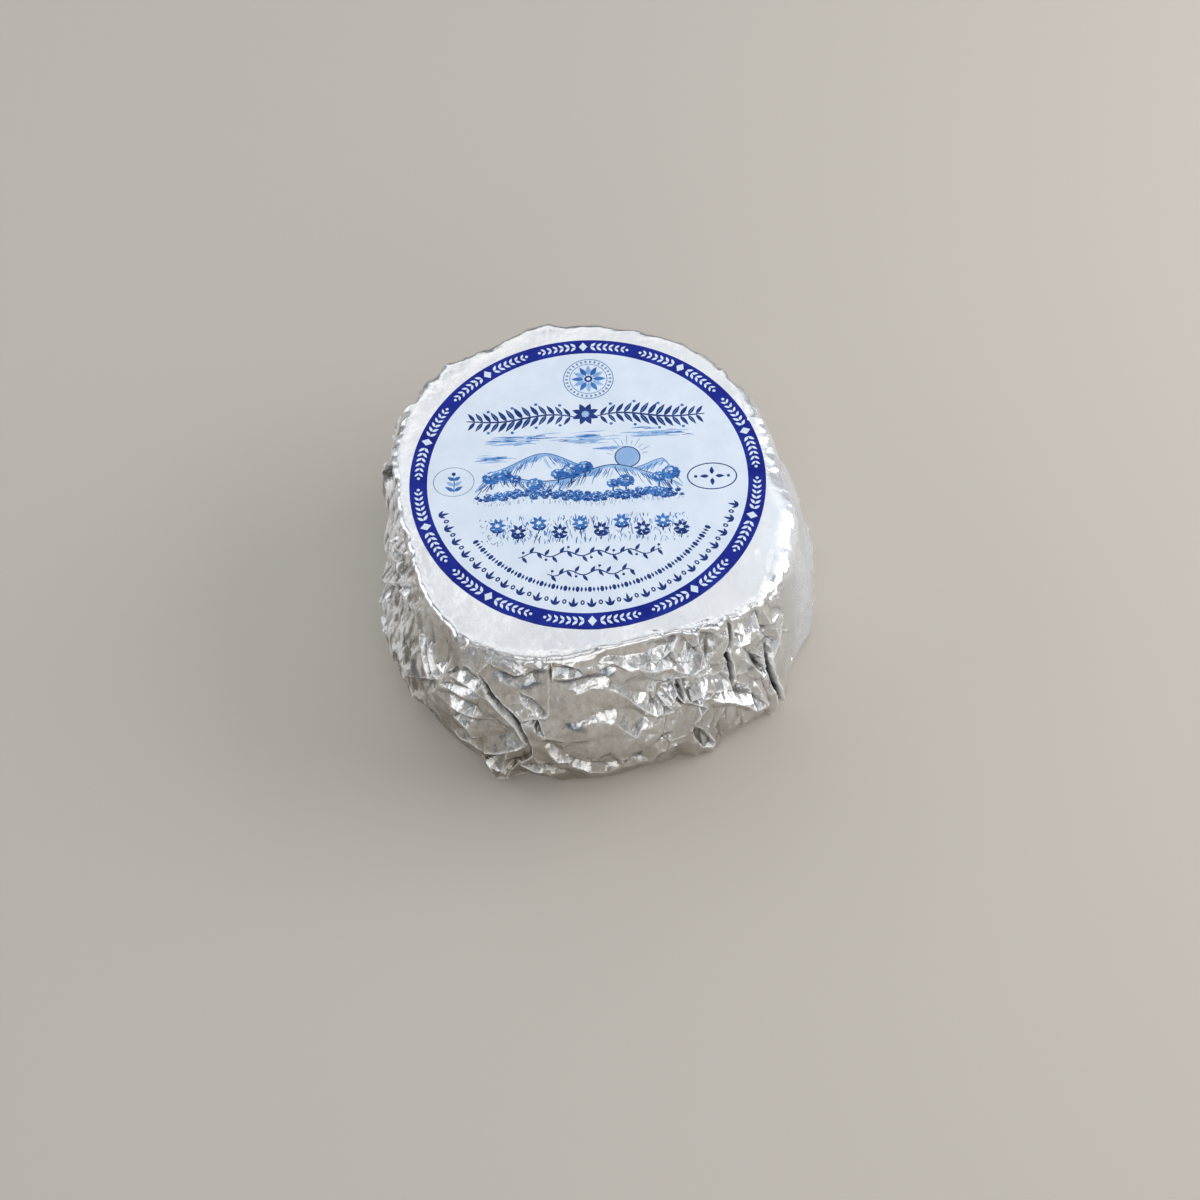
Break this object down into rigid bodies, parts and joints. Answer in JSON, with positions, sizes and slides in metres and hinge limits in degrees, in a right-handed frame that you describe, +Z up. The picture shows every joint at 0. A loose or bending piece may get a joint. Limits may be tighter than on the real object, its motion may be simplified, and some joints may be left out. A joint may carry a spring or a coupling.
{
  "type": "foil-wrapped blue cheese wheel",
  "caption": "Small wheel of blue cheese, wrapped whole in creased aluminium foil gathered round the side, with a round paper label with a blue border stuck on its flat top.",
  "frame": {"origin": "on the table, at the middle of the footprint's bounding box", "axes": "+Z up, -Y the front of the label (its foot), +X to its right"},
  "size_m": [0.1566, 0.1594, 0.0662],
  "materials": {
    "foil": "bright household foil, creased; smoother and duller on top where it is pressed flat",
    "label_paper": "thin coated white paper, satin, with a royal blue border and printed blue ornament"
  },
  "bodies": {
    "root": {"foil_wrapped_wheel": "foil", "paper_label": "label_paper"}
  },
  "joints": []
}
